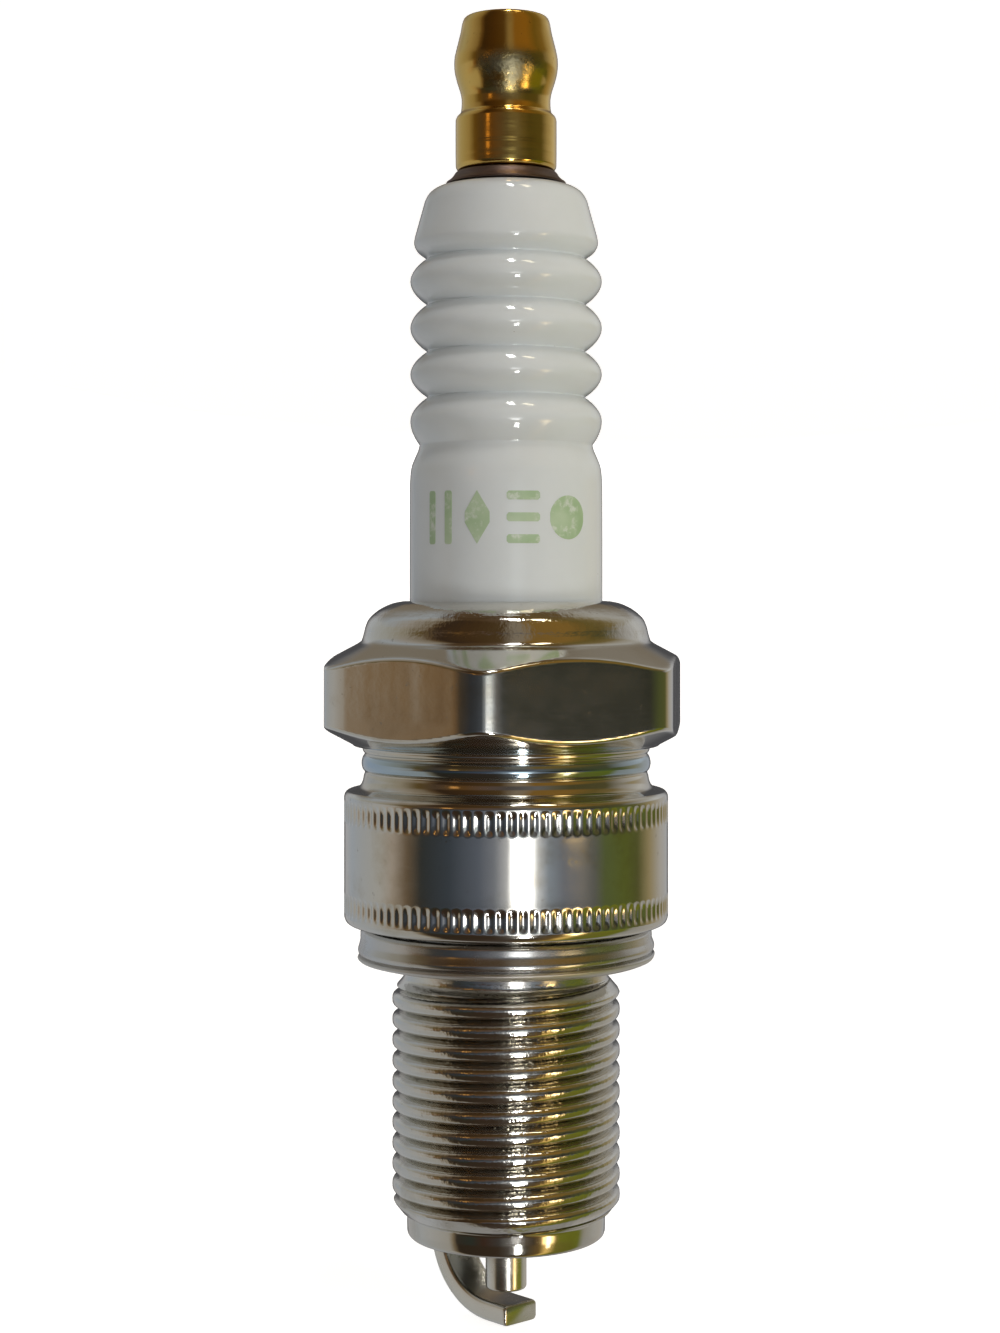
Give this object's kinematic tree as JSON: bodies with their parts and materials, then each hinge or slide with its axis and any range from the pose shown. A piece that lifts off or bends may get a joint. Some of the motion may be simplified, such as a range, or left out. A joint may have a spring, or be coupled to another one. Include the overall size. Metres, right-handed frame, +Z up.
{
  "type": "spark plug",
  "caption": "Long-reach spark plug with a ribbed white insulator, removable terminal nut, hexagon shell, captive folded gasket and one bent ground electrode.",
  "frame": {"origin": "on the plug's axis, in the lower face of the sealing gasket, where it lands on the cylinder head", "axes": "+Z up the axis to the terminal, -Z down the thread to the spark gap, -Y towards the picture's viewpoint"},
  "size_m": [0.022, 0.0232, 0.0793],
  "materials": {
    "terminal_brass": "bright yellow plating",
    "stud_steel": "darkened by firing",
    "alumina": "glazed, glossy",
    "conductive_glass": "dark, opaque",
    "nickel_alloy": "satin",
    "copper": "drawn",
    "plated_shell": "bright nickel plating",
    "ring_steel": "plain",
    "talc": "pressed powder",
    "gasket_steel": "bright"
  },
  "bodies": {
    "plug": {"shell": "plated_shell", "insulator": "alumina", "terminal_stud": "stud_steel", "glass_seal": "conductive_glass", "centre_electrode": "nickel_alloy", "centre_electrode_core": "copper", "upper_packing_ring": "ring_steel", "talc_packing": "talc", "lower_packing_ring": "ring_steel", "insulator_seat_washer": "ring_steel", "ground_electrode": "nickel_alloy"},
    "nut": {"terminal_nut": "terminal_brass"},
    "gasket": {"sealing_gasket": "gasket_steel"}
  },
  "joints": [
    {"name": "terminal_nut_unscrew", "type": "slide", "parent": "plug", "child": "nut", "axis": [0, 0, 1], "range_m": [0, 0.01]},
    {"name": "gasket_play", "type": "slide", "parent": "plug", "child": "gasket", "axis": [0, 0, 1], "range_m": [-0.002, 0.0002]}
  ]
}
